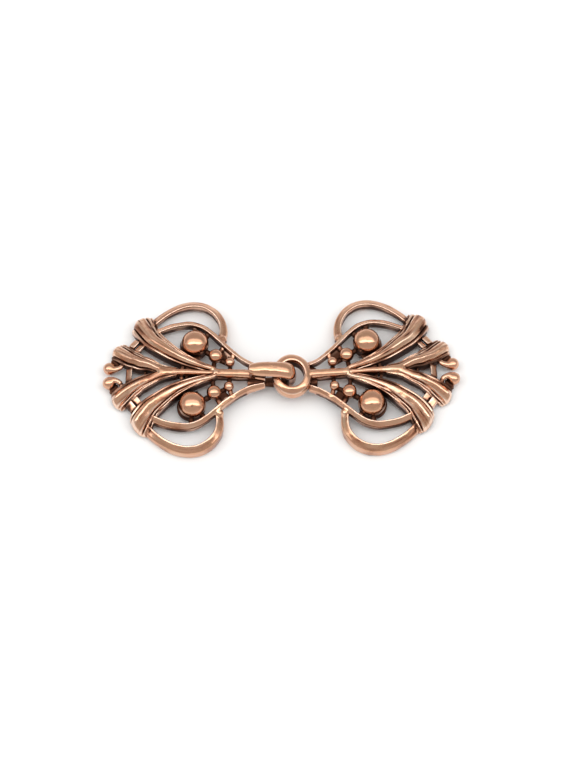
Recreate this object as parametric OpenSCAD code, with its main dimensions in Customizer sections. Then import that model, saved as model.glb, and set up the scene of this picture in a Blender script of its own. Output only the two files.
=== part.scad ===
// Two-piece hook-and-eye cardigan clasp.
// Each half is one openwork casting: a domed fan of four petals on a stem,
// held between two S-shaped frame bars and two outer loops, with graded
// beads in the fields. The left half ends in a bent hook, the right half in
// an oval eye. All lengths are in millimetres.

/* [Layout] */
// Distance from the swivel axis to the inner end of the hook half's fan
hook_reach = 7.0; // [6.8:0.1:8]
// Distance from the swivel axis to the inner end of the eye half's fan
eye_reach = 3.0; // [2.9:0.1:3.3]
// Angle that the hook half is turned by, about the swivel axis, as it lies
hook_turn = -1.7; // [-10:0.1:10]
// Angle that the eye half is turned by, about the swivel axis, as it lies
eye_turn = 3.9; // [-20:0.1:20]

/* [Fan] */
// Height scale of the dome, 1 as cast
dome = 1.0; // [0.9:0.05:1.1]
// Thickness of the S-shaped frame bars, top to underside
bar_t = 1.8; // [1.5:0.05:1.9]
// Width scale of the S-shaped frame bars, 1 as cast
bar_w = 1.0; // [0.95:0.05:1.1]
// Width of the outer loops
loop_w = 1.45; // [1.2:0.05:1.5]
// Height scale of the outer loops, 1 as cast
loop_t = 1.0; // [0.9:0.05:1.1]

/* [Beads] */
// Radius of the large beads
bead_l_r = 2.25; // [1.9:0.05:2.3]
// Radius of the middle beads
bead_m_r = 1.28; // [1.2:0.02:1.4]
// Radius of the small beads
bead_s_r = 0.88; // [0.8:0.02:0.94]
// Radius of the pair of balls at the fan's outer end
ball_r = 1.08; // [0.9:0.02:1.2]

/* [Hook] */
// Width of the hook's finger
hook_w = 2.66; // [2.4:0.02:2.8]
// Thickness of the hook's finger
hook_t = 2.05; // [1.8:0.05:2.1]
// Height of the finger's middle line above the surface
hook_z = 6.0; // [5.98:0.02:6.1]

/* [Eye] */
// Inner half-length of the eye along the clasp
eye_in = 2.37; // [2.3:0.01:2.4]
// Radial wall of the eye
eye_wall = 0.92; // [0.84:0.02:1]
// How much longer the eye is across the clasp than along it
eye_oval = 1.1; // [1.06:0.01:1.14]
// Underside of the eye above the surface
eye_z = 2.45; // [2.3:0.05:2.5]
// Height of the eye's wall
eye_h = 2.36; // [2.2:0.02:2.4]

/* [Hidden] */
copper = [0.74, 0.47, 0.34];
copper_dark = [0.66, 0.40, 0.28];
// the swivel axis stands here from the middle of the whole outline
axis_x = 2.00;
axis_y = -0.72;
// the eye's middle lies this far from the swivel axis, as the hook's post pulls in it
eye_shift = -0.2;

// ---- tables: rows of [along, across, top, underside, width] ----
// "along" runs outward from the inner end of the fan, "across" from its axis.
STEM = [
    [-0.4, 0, 4.52, 2.60, 1.66],
    [ 3.0, 0, 4.52, 2.60, 1.64],
    [ 6.7, 0, 4.50, 2.55, 1.55],
    [ 8.5, 0, 4.32, 2.45, 0.82],
    [12.0, 0, 4.40, 2.05, 1.10],
    [15.2, 0, 4.44, 1.90, 1.85],
    [16.7, 0, 4.10, 1.90, 1.30]];
OUTER_PETAL = [
    [ 6.3,  0.32, 4.34, 2.30, 0.90],
    [ 9.1,  1.34, 4.46, 2.00, 1.46],
    [11.7,  2.44, 4.52, 1.70, 1.90],
    [14.2,  3.92, 4.52, 1.40, 2.50],
    [16.0,  5.28, 4.38, 1.15, 2.95],
    [17.5,  6.66, 3.98, 0.90, 3.55],
    [18.5,  8.00, 3.54, 0.75, 4.00],
    [19.25, 9.25, 3.05, 0.60, 4.35],
    [19.8, 10.10, 2.45, 0.50, 4.10]];
MID_PETAL = [
    [14.6, 0.20, 4.38, 2.00, 1.05],
    [16.4, 0.70, 4.36, 1.80, 1.70],
    [17.8, 1.25, 4.26, 1.60, 2.35],
    [19.5, 2.00, 3.84, 1.20, 2.95],
    [21.2, 3.00, 3.32, 0.80, 3.62],
    [22.3, 3.76, 2.90, 0.65, 3.86],
    [23.2, 4.45, 2.52, 0.58, 3.86],
    [23.95, 4.98, 1.90, 0.55, 3.40]];
// the underside column is left out here: it is the top less bar_t; the last column is the width
FRAME = [
    [17.3,  8.20, 2.78, 1.06],
    [16.05, 8.78, 2.86, 1.10],
    [14.4,  9.40, 3.05, 1.12],
    [12.6,  9.76, 3.24, 1.12],
    [10.85, 9.80, 3.32, 1.08],
    [ 9.0,  9.20, 3.42, 1.00],
    [ 7.38, 8.00, 3.54, 0.92],
    [ 6.0,  6.68, 3.66, 0.88],
    [ 4.78, 5.46, 3.68, 0.86],
    [ 3.4,  4.28, 3.58, 0.84],
    [ 2.19, 3.38, 3.50, 0.84],
    [ 1.32, 2.84, 3.48, 0.85]];
// rows of [along, across, top, underside]
LOOP = [
    [18.6,  9.45, 2.10, 0],
    [16.4, 11.50, 2.25, 0],
    [14.5, 12.84, 2.42, 0],
    [12.6, 13.68, 2.55, 0],
    [10.8, 13.98, 2.64, 0],
    [ 8.9, 13.72, 2.74, 0],
    [ 7.05, 12.58, 2.80, 0],
    [ 5.84, 10.85, 2.80, 0],
    [ 5.42, 9.20, 2.80, 0.10],
    [ 5.47, 7.75, 2.90, 0.50],
    [ 5.56, 6.55, 3.00, 0.75]];
// rows of [along, across, height of the middle, radius, facets]
BEADS = [
    [10.25, 5.86, 3.00, bead_l_r, 12],
    [ 6.55, 3.50, 3.32, bead_m_r, 10],
    [ 4.05, 2.30, 3.40, bead_s_r, 8],
    [24.98, 1.36, 1.38, ball_r, 10]];
// short rods that tie things together: two ends [along, across, height], rod radius
TIES = [
    [[ 9.0,  5.1, 2.5], [ 6.9,  3.7, 2.5], 0.50],   // large bead to middle bead
    [[ 6.6,  3.5, 2.55], [ 4.1,  2.2, 2.8], 0.44],  // middle bead to small bead
    [[ 6.6,  3.5, 2.6], [ 6.9,  0.5, 2.85], 0.42],  // middle bead to stem
    [[ 4.05, 2.3, 2.85], [ 4.0,  0.4, 2.9], 0.40],  // small bead to stem
    [[ 6.5,  3.6, 2.5], [ 5.2,  5.8, 2.7], 0.48],   // middle bead to frame bar
    [[ 4.0,  2.3, 2.85], [ 3.3,  4.3, 2.9], 0.42],  // small bead to frame bar
    [[10.9,  5.6, 2.4], [11.8,  3.0, 2.9], 0.52],   // large bead to petal
    [[10.2,  6.2, 2.2], [10.5,  9.6, 2.2], 0.50],   // large bead to frame bar
    [[ 8.9,  6.6, 2.3], [ 7.9,  8.2, 2.5], 0.50],   // large bead to frame bar, towards the neck
    [[20.05, 6.95, 1.85], [21.6, 5.05, 1.75], 0.55],  // outer rung between petals
    [[18.95, 6.25, 2.05], [20.5, 4.25, 1.95], 0.55],  // inner rung between petals
    [[12.1,  2.2, 3.0], [12.1,  -0.1, 3.0], 0.50],  // web between petal and stem
    [[21.5,  1.5, 1.65], [21.5,  -0.1, 1.65], 0.60],// cross bar between the inner petals
    [[24.6,  1.2, 1.6], [23.3,  0.95, 2.0], 0.52],  // stalk of the end ball
    [[23.3,  0.95, 2.0], [22.5,  2.0, 1.9], 0.44]]; // stalk's foot on the petal

// ---- outlines of the cross-sections: [across the half-width, up the height] ----
PETAL_HALF = [[1, 0.0], [1, 0.5], [0.84, 0.58], [0.70, 0.46], [0.52, 0.76], [0.25, 0.96]];
// the bars' ridge lies near their inner side, so their outline has two different halves
RIDGE = [[-1, 0.0], [-1, 0.48], [-0.1, 0.80], [0.72, 1], [1, 0.80], [1, 0.0]];
STEM_SECTION = [[-1, 0.0], [-1, 0.72], [-0.55, 1], [0.55, 1], [1, 0.72], [1, 0.0]];
function whole(h) = concat([for (q = h) [-q[0], q[1]]], [[0, 1]],
                           [for (i = [len(h) - 1 : -1 : 0]) h[i]]);
PETAL = whole(PETAL_HALF);

// ---- smooth curve through a table's rows ----
function row(t, i) = i < 0 ? 2 * t[0] - t[1]
    : i > len(t) - 1 ? 2 * t[len(t) - 1] - t[len(t) - 2] : t[i];
function between(a, b, c, d, u) = 0.5 * (2 * b + (c - a) * u
    + (2 * a - 5 * b + 4 * c - d) * u * u + (3 * b - a - 3 * c + d) * u * u * u);
function at(t, s) = let (i = min(floor(s), len(t) - 2))
    between(row(t, i - 1), row(t, i), row(t, i + 1), row(t, i + 2), s - i);
function unit(v) = v / norm(v);
function heading(t, s) = let (a = at(t, max(0, s - 0.05)), b = at(t, min(len(t) - 1, s + 0.05)))
    unit([b[0] - a[0], b[1] - a[1]]);

// triangles round a run of n rings of m points, with flat ends
function skin(n, m) = concat(
    [for (i = [0 : n - 2], j = [0 : m - 1]) each
        let (a = i * m + j, b = i * m + (j + 1) % m, c = a + m, d = b + m)
        [[a, b, c], [b, d, c]]],
    [[for (j = [m - 1 : -1 : 0]) j]],
    [[for (j = [0 : m - 1]) (n - 1) * m + j]]);

// a bar along a table of [along, across, top, underside, width] rows
module run(t, outline, per) {
    n = (len(t) - 1) * per + 1;
    m = len(outline);
    pts = [for (k = [0 : n - 1]) each
        let (s = k / per, r = at(t, s), h = heading(t, s), w = r[4] / 2)
        [for (q = outline) [r[0] - h[1] * w * q[0], r[1] + h[0] * w * q[0],
                            dome * (max(0, r[3]) + (r[2] - r[3]) * q[1])]]];
    polyhedron(points = pts, faces = skin(n, m));
}

module rod(p, q, r) {
    hull() {
        translate([p[0], p[1], dome * p[2]]) sphere(r, $fn = 4);
        translate([q[0], q[1], dome * q[2]]) sphere(r, $fn = 4);
    }
}

module stem() { run(STEM, STEM_SECTION, 1); }
module petals() {
    run(OUTER_PETAL, PETAL, 1);
    run(MID_PETAL, PETAL, 1);
}
module frame_bar(extra) {
    run([for (r = concat(FRAME, extra))
         [r[0], r[1], r[2], r[2] - min(bar_t, len(r) > 4 ? r[4] : bar_t), bar_w * r[3]]], RIDGE, 1);
}
module outer_loop() {
    run([for (r = LOOP) [r[0], r[1], r[2] * loop_t, r[3], loop_w]], RIDGE, 1);
}
module beads() {
    for (b = BEADS) translate([b[0], b[1], dome * b[2]]) sphere(b[3], $fn = b[4]);
    // low seat that the large bead stands on
    b = BEADS[0];
    translate([b[0] + 0.22, b[1] - 0.05, dome * 1.35]) cylinder(r = b[3] + 0.05, h = 0.9, $fn = 14);
}
module ties() { for (t = TIES) rod(t[0], t[1], t[2]); }

// one side of the fan and its mirror image, in the fan's own frame
module fan(extra) {
    for (side = [0, 1]) mirror([0, side, 0]) {
        petals();
        frame_bar(extra);
        outer_loop();
        beads();
        ties();
    }
    stem();
}

// ---- the hook: rows of [out from the axis, height of the middle, width, thickness] ----
HOOK = [
    [ 7.40, hook_z - 0.22, hook_w * 0.90, hook_t * 0.90],
    [ 6.75, hook_z - 0.10, hook_w * 0.95, hook_t * 0.98],
    [ 5.9,  hook_z - 0.03, hook_w * 0.98, hook_t],
    [ 4.4,  hook_z,        hook_w, hook_t],
    [ 2.6,  hook_z - 0.02, hook_w * 1.02, hook_t],
    [ 1.65, hook_z - 0.12, hook_w * 1.05, hook_t * 0.98],
    [ 0.95, hook_z - 0.45, hook_w * 1.07, hook_t * 0.94],
    [ 0.50, hook_z - 1.0,  hook_w * 1.05, hook_t * 0.90],
    [ 0.32, hook_z - 1.9,  hook_w * 0.98, hook_t * 0.85],
    [ 0.32, hook_z - 3.2,  hook_w * 0.90, hook_t * 0.80],
    [ 0.48, hook_z - 4.2,  hook_w * 0.84, hook_t * 0.76],
    [ 1.25, hook_z - 5.06, hook_w * 0.76, hook_t * 0.66],
    [ 2.5,  hook_z - 5.28, hook_w * 0.70, hook_t * 0.55],
    [ 4.0,  hook_z - 5.30, hook_w * 0.66, hook_t * 0.52],
    [ 5.1,  hook_z - 5.26, hook_w * 0.58, hook_t * 0.48],
    [ 5.5,  hook_z - 5.20, hook_w * 0.38, hook_t * 0.32]];
module hook() {
    per = 1;
    n = (len(HOOK) - 1) * per + 1;
    m = 12;
    function lobe(a) = [1.04 * cos(a), 1.04 * sin(a)];
    pts = [for (k = [0 : n - 1]) each
        let (s = k / per, r = at(HOOK, s), h = heading(HOOK, s))
        [for (j = [0 : m - 1]) let (q = lobe((j + 0.5) * 360 / m))
            [-r[0] - h[1] * q[1] * r[3] / 2, -q[0] * r[2] / 2, r[1] - h[0] * q[1] * r[3] / 2]]];
    polyhedron(points = pts, faces = skin(n, m));
    // the short post that the finger's inner end stands on
    translate([-7.3, -0.9, 3.6]) cube([1.0, 1.8, hook_z - 4.1]);
}

// the hook half's neck: the bars run on past the fan onto a sunk web; the last column is their thickness here
HOOK_NECK = [[0.3, 2.32, 3.48, 0.86, 1.65], [-0.94, 2.00, 3.52, 0.84, 1.40], [-2.2, 1.66, 3.58, 0.82, 1.20]];
module hook_neck() {
    run([[0.9, 0, 3.0, 2.4, 4.2], [-0.9, 0, 3.1, 2.4, 3.9], [-2.2, 0, 3.2, 2.4, 3.6]], STEM_SECTION, 1);
    run([[1.9, 0, 4.0, 2.6, 0.95], [0.4, 0, 4.05, 2.6, 1.5], [-0.9, 0, 4.1, 2.6, 2.0], [-2.25, 0, 4.1, 2.6, 2.4]], STEM_SECTION, 1);
}

// the eye half's neck: a short sunk web between the eye's wall and the bars
EYE_NECK = [[0.4, 2.42, 3.50, 0.88, 1.60], [-0.35, 2.22, 3.56, 0.90, 1.40]];
module eye_neck() {
    run([[1.2, 0, 2.9, 2.1, 3.4], [0.4, 0, 3.0, 2.1, 4.2], [-0.5, 0, 3.05, 2.2, 4.2]], STEM_SECTION, 1);
}
module eye_ring() {
    r = min(0.38, eye_wall * 0.42);
    translate([eye_shift, 0, 0]) scale([1, eye_oval, 1]) rotate_extrude($fn = 28)
        polygon([for (c = [[eye_in + r, eye_z + r, 180], [eye_in + eye_wall - r, eye_z + r, 270],
                           [eye_in + eye_wall - r, eye_z + eye_h - r, 0],
                           [eye_in + r, eye_z + eye_h - r, 90]], a = [0, 90])
                 [c[0] + r * cos(c[2] + a), c[1] + r * sin(c[2] + a)]]);
}

module hook_half() {
    color(copper) union() {
        translate([axis_x, axis_y, 0]) {
            rotate(180 + hook_turn) translate([hook_reach, 0, 0]) { fan(HOOK_NECK); hook_neck(); }
            rotate(hook_turn) hook();
        }
    }
}
module eye_half() {
    color(copper_dark) union() {
        translate([axis_x, axis_y, 0]) rotate(eye_turn) {
            translate([eye_reach, 0, 0]) { fan(EYE_NECK); eye_neck(); }
            eye_ring();
        }
    }
}

hook_half();
eye_half();
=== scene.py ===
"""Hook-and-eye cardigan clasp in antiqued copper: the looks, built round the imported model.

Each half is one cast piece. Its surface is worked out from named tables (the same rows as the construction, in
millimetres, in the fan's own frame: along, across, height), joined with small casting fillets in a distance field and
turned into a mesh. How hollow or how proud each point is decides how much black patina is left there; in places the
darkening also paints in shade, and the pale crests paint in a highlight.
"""
import math

import bpy
import numpy as np
import openvdb
from mathutils import Matrix, Vector


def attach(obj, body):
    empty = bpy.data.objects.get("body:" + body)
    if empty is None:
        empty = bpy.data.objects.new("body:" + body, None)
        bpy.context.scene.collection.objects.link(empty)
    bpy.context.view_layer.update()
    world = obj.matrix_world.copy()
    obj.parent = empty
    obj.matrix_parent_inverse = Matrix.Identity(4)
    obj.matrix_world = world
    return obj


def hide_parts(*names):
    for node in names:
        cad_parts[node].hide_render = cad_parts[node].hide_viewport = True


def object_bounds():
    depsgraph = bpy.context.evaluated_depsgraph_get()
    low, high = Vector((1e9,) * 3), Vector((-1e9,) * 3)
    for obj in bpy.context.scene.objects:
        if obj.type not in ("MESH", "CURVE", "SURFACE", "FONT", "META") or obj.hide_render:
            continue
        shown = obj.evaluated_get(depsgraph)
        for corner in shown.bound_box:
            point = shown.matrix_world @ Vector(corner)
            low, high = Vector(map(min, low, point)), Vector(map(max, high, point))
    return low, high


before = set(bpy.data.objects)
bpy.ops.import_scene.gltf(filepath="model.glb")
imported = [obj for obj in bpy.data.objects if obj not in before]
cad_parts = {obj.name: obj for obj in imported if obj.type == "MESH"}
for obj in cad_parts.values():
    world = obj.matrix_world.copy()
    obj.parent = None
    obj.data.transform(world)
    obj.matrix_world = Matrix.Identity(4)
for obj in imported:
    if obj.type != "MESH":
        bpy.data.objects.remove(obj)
cad_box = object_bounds()

H = 0.095  # spacing of the distance field, in mm
MAX_TRIS = 190000
BUFF_R = 2.2  # radius of what can reach in to polish, in mm

# ---- where the halves lie (mm and degrees, as in the construction) ----
AXIS = (2.00, -0.72)
HOOK_REACH, EYE_REACH = 7.0, 3.0
HOOK_TURN, EYE_TURN = -1.7, 3.9

# ---- tables: [along, across, top, underside, width] ----
STEM = [
    [-0.9, 0, 4.50, 2.40, 1.66],
    [1.5, 0, 4.52, 2.40, 1.66],
    [4.2, 0, 4.52, 2.40, 1.62],
    [6.2, 0, 4.50, 2.40, 1.60],
    [6.8, 0, 4.42, 2.40, 1.25],
]
SPINE = [
    [6.3, 0, 4.28, 2.30, 0.90],
    [8.5, 0, 4.32, 2.20, 0.80],
    [10.5, 0, 4.38, 2.10, 0.90],
    [13.0, 0, 4.42, 2.00, 1.25],
    [14.2, 0, 4.44, 1.95, 1.60],
    [15.3, 0, 4.44, 1.90, 1.90],
    [16.3, 0, 4.32, 1.90, 1.80],
    [16.9, 0, 3.95, 1.90, 1.20],
]
# petals: [along, across, top, underside] of the crest, then how far out from it the strips end:
# inner rail's far and near edge, rib's inner edge, outer groove, faint second line, outer edge
OUTER_PETAL = [
    [6.3, 0.36, 4.34, 2.20, -0.62, -0.46, -0.34, 0.26, 0.30, 0.34],
    [7.45, 0.94, 4.40, 2.00, -0.78, -0.52, -0.42, 0.30, 0.38, 0.46],
    [9.1, 1.45, 4.46, 1.80, -0.88, -0.58, -0.48, 0.32, 0.48, 0.60],
    [10.85, 2.07, 4.50, 1.65, -1.00, -0.66, -0.56, 0.42, 0.66, 0.88],
    [12.6, 2.84, 4.52, 1.50, -1.14, -0.74, -0.64, 0.58, 0.88, 1.16],
    [14.3, 3.76, 4.52, 1.35, -1.28, -0.82, -0.72, 0.84, 1.18, 1.50],
    [16.05, 4.94, 4.34, 1.15, -1.40, -0.88, -0.78, 1.12, 1.52, 1.86],
    [17.80, 6.20, 3.98, 0.90, -1.44, -0.90, -0.80, 1.42, 1.94, 2.32],
    [19.03, 7.62, 3.56, 0.70, -1.46, -0.90, -0.80, 1.72, 2.36, 2.72],
    [19.86, 8.82, 3.14, 0.60, -1.46, -0.90, -0.80, 1.92, 2.64, 2.98],
    [20.56, 9.90, 2.76, 0.55, -1.46, -0.90, -0.80, 2.02, 2.80, 3.14],
]
MID_PETAL = [
    [13.2, 0.16, 4.36, 2.00, -0.40, -0.38, -0.35, 0.36, 0.48, 0.58],
    [15.2, 0.29, 4.38, 1.90, -0.54, -0.52, -0.46, 0.52, 0.70, 0.88],
    [16.4, 0.63, 4.36, 1.80, -0.78, -0.68, -0.60, 0.58, 0.80, 1.00],
    [17.76, 1.33, 4.28, 1.60, -1.08, -0.80, -0.72, 0.64, 0.90, 1.12],
    [18.65, 1.68, 4.14, 1.40, -1.26, -0.86, -0.78, 0.72, 1.02, 1.26],
    [19.55, 1.98, 3.82, 1.20, -1.36, -0.88, -0.80, 0.80, 1.16, 1.46],
    [20.40, 2.40, 3.62, 1.00, -1.40, -0.88, -0.80, 0.92, 1.34, 1.72],
    [21.40, 2.84, 3.22, 0.80, -1.42, -0.88, -0.80, 1.14, 1.62, 2.04],
    [22.40, 3.48, 2.86, 0.62, -1.44, -0.88, -0.80, 1.36, 1.84, 2.24],
    [23.35, 4.18, 2.48, 0.55, -1.46, -0.88, -0.80, 1.46, 1.92, 2.28],
    [24.05, 4.70, 2.18, 0.50, -1.46, -0.88, -0.80, 1.50, 1.94, 2.26],
]
FRAME = [  # the ridge sits near the inner side; the underside is BAR_T below the top; columns: along, across, top, width (and thickness at the neck)
    [17.6, 8.05, 2.78, 1.06],
    [16.05, 8.78, 2.86, 1.10],
    [14.4, 9.40, 3.05, 1.12],
    [12.6, 9.76, 3.24, 1.12],
    [10.85, 9.80, 3.32, 1.08],
    [9.0, 9.20, 3.42, 1.00],
    [7.38, 8.00, 3.54, 0.92],
    [6.0, 6.68, 3.66, 0.88],
    [4.78, 5.46, 3.68, 0.86],
    [3.4, 4.28, 3.58, 0.84],
    [2.19, 3.38, 3.50, 0.84],
    [1.32, 2.84, 3.48, 0.85],
]
HOOK_NECK = [[0.3, 2.32, 3.48, 0.86, 1.65], [-0.94, 2.00, 3.52, 0.84, 1.40], [-2.2, 1.66, 3.58, 0.82, 1.20]]
EYE_NECK = [[0.4, 2.42, 3.50, 0.88, 1.60], [-0.35, 2.22, 3.56, 0.90, 1.40]]
BAR_T = 1.85
LOOP = [  # [along, across, top, underside]
    [18.6, 9.45, 2.10, 0.0],
    [16.4, 11.50, 2.25, 0.0],
    [14.5, 12.82, 2.42, 0.0],
    [12.6, 13.66, 2.55, 0.0],
    [10.8, 13.96, 2.64, 0.0],
    [8.9, 13.68, 2.74, 0.0],
    [7.05, 12.54, 2.80, 0.0],
    [5.84, 10.85, 2.80, 0.0],
    [5.42, 9.20, 2.80, 0.10],
    [5.47, 7.75, 2.90, 0.50],
    [5.56, 6.60, 3.00, 0.75],
]
LOOP_W = 1.40
# [along, across, height of the middle, radius, flattening, outward tilt in degrees]
BEADS = [
    [10.25, 5.86, 3.04, 2.40, 0.96, 12],
    [6.55, 3.50, 3.35, 1.27, 0.96, 8],
    [4.05, 2.30, 3.42, 0.87, 1.00, 0],
]
# rods that tie things together: two ends, and the radius at each end
TIES = [
    [[9.0, 5.1, 2.5], [6.9, 3.7, 2.5], 0.50, 0.50],
    [[6.6, 3.5, 2.5], [4.1, 2.2, 2.6], 0.46, 0.42],
    [[6.67, 3.5, 2.5], [6.9, 0.9, 2.7], 0.42, 0.42],
    [[4.0, 2.1, 2.6], [4.0, 0.4, 2.7], 0.40, 0.40],
    [[6.5, 3.6, 2.45], [5.2, 5.6, 2.6], 0.50, 0.50],
    [[4.0, 2.2, 2.8], [3.4, 4.2, 3.0], 0.42, 0.42],
    [[10.9, 5.6, 2.4], [11.8, 3.3, 2.9], 0.52, 0.50],
    [[10.2, 6.2, 2.2], [10.4, 9.5, 2.2], 0.50, 0.50],
    [[8.9, 6.6, 2.3], [8.0, 8.2, 2.4], 0.52, 0.50],
]
# small cast blocks: [along, across, height, half sizes (along, across, up), turn in degrees, slope of the top outward]
BLOCKS = [
    [20.85, 6.00, 1.72, 0.58, 0.82, 0.55, 40, 0.62],
    [19.80, 5.16, 1.92, 0.50, 0.80, 0.58, 40, 0.55],
    [21.55, 0.00, 1.62, 0.56, 1.25, 0.62, 0, 0.62],
    [18.7, 0.00, 2.2, 0.20, 1.10, 0.40, 0, 0.0],
    [12.15, 1.40, 2.85, 0.30, 0.85, 0.52, 14, 0.0],
    [11.35, 1.10, 2.85, 0.30, 0.60, 0.50, 14, 0.0],
]
# low webs, coloured near black, that close openings which look near black: [along, across, height, half sizes (along,
# across, up), turn]
WEBS = [
    [4.75, 4.05, 2.25, 0.95, 0.95, 0.30, -42],
    [9.9, 3.55, 2.20, 0.70, 0.55, 0.25, 20],
    [9.2, 0.95, 2.95, 2.10, 0.62, 0.40, 12],
    [24.1, 2.30, 0.85, 0.72, 0.85, 0.36, 0],
    [20.9, 4.80, 1.10, 0.50, 0.50, 0.30, 40],
]

# ---------------------------------------------------------------- curves
def smooth_rows(rows, step=0.07):
    """The rows joined by a Catmull-Rom curve, as evenly spaced samples."""
    t = np.array(rows, float)
    ext = np.vstack([2 * t[0] - t[1], t, 2 * t[-1] - t[-2]])
    out = []
    for i in range(len(t) - 1):
        a, b, c, d = ext[i : i + 4]
        u = np.linspace(0, 1, 40, endpoint=False)[:, None]
        out.append(0.5 * (2 * b + (c - a) * u + (2 * a - 5 * b + 4 * c - d) * u**2 + (3 * b - a - 3 * c + d) * u**3))
    out.append(t[-1:])
    p = np.vstack(out)
    run = np.concatenate([[0], np.cumsum(np.hypot(*np.diff(p[:, :2], axis=0).T))])
    n = max(8, int(run[-1] / step))
    s = np.linspace(0, run[-1], n)
    return np.column_stack([np.interp(s, run, p[:, k]) for k in range(p.shape[1])]), s


def spline(points, x):
    """Smooth height profile through [position, height] points."""
    q = np.array(points, float)
    m = np.gradient(q[:, 1], q[:, 0])
    i = np.clip(np.searchsorted(q[:, 0], x) - 1, 0, len(q) - 2)
    h = q[i + 1, 0] - q[i, 0]
    t = np.clip((x - q[i, 0]) / h, 0, 1)
    return (
        (2 * t**3 - 3 * t**2 + 1) * q[i, 1]
        + (t**3 - 2 * t**2 + t) * h * m[i]
        + (-2 * t**3 + 3 * t**2) * q[i + 1, 1]
        + (t**3 - t**2) * h * m[i + 1]
    )


# how far the top drops over the bar's width, in half-widths, from its inner side (-1) to its outer side (+1)
BAR_TOP = [[-1, 0.50], [-0.9, 0.17], [-0.74, 0.0], [-0.58, 0.03], [-0.35, 0.17], [0.0, 0.42], [0.5, 0.78], [0.8, 1.02], [1, 1.40]]
LOOP_TOP = [[-1, 0.45], [-0.9, 0.15], [-0.76, 0.0], [-0.62, 0.03], [-0.35, 0.18], [0.0, 0.45], [0.5, 0.82], [0.8, 1.06], [1, 1.40]]
STEM_TOP = [[-1, 0.85], [-0.8, 0.40], [-0.5, 0.09], [0, 0.0], [0.5, 0.09], [0.8, 0.40], [1, 0.85]]
EYE_TOP = [[-1, 0.62], [-0.85, 0.22], [-0.5, 0.0], [-0.2, 0.03], [0.1, 0.18], [0.5, 0.44], [0.8, 0.72], [1, 1.10]]
PLATE_TOP = [[-1, 0.25], [-0.9, 0.06], [0, 0.0], [0.9, 0.06], [1, 0.25]]


def foot(p, q):
    """For points q in plan: nearest sample of the curve p, how far ahead of it, and how far to its left."""
    c = p[:, :2].astype(np.float32)
    near = np.empty(len(q), np.int32)
    for i in range(0, len(q), 20000):
        b = q[i : i + 20000]
        d2 = (b[:, :1] - c[:, 0]) ** 2 + (b[:, 1:] - c[:, 1]) ** 2
        near[i : i + 20000] = d2.argmin(1)
    tan = np.gradient(p[:, :2], axis=0)
    tan /= np.linalg.norm(tan, axis=1)[:, None]
    t = tan[near]
    off = q - p[near, :2]
    return near, (off * t).sum(1), off[:, 1] * t[:, 0] - off[:, 0] * t[:, 1]


# ---------------------------------------------------------------- distance field
def smin(a, b, k):
    h = np.clip(0.5 + 0.5 * (a - b) / k, 0, 1)
    return a * (1 - h) + b * h - k * h * (1 - h)


def smax(a, b, k):
    return -smin(-a, -b, k)


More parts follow.
